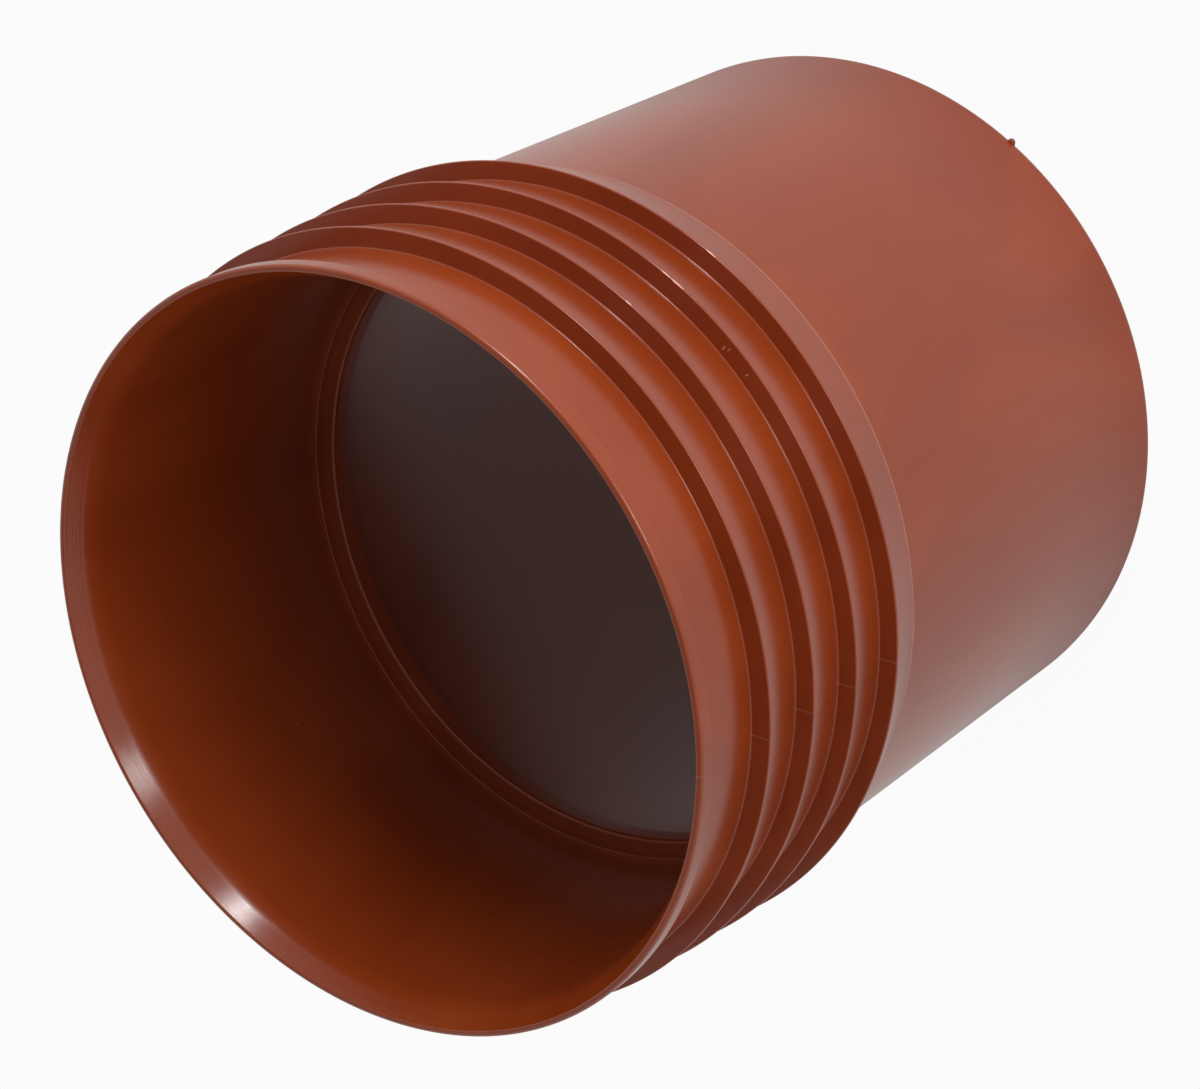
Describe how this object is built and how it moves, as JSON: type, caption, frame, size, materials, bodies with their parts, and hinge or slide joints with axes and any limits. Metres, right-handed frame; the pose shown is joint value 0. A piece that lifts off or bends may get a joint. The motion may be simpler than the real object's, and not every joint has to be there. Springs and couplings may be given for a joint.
{
  "type": "pipe transition fitting",
  "caption": "Short moulded pipe adaptor: a smooth round plain end at one side and a ribbed socket end with a chamfered mouth at the other.",
  "frame": {"origin": "on the pipe's axis, in the plane of the plain end's edge, which stands on the floor", "axes": "+Z along the pipe, from the plain end that it stands on up to the ribbed mouth; X and Y are alike, since the pipe is round"},
  "size_m": [0.116, 0.116, 0.123],
  "materials": {
    "moulded_plastic": "gloss moulded red-brown sewer plastic"
  },
  "bodies": {
    "root": {"transition_fitting": "moulded_plastic"}
  },
  "joints": []
}
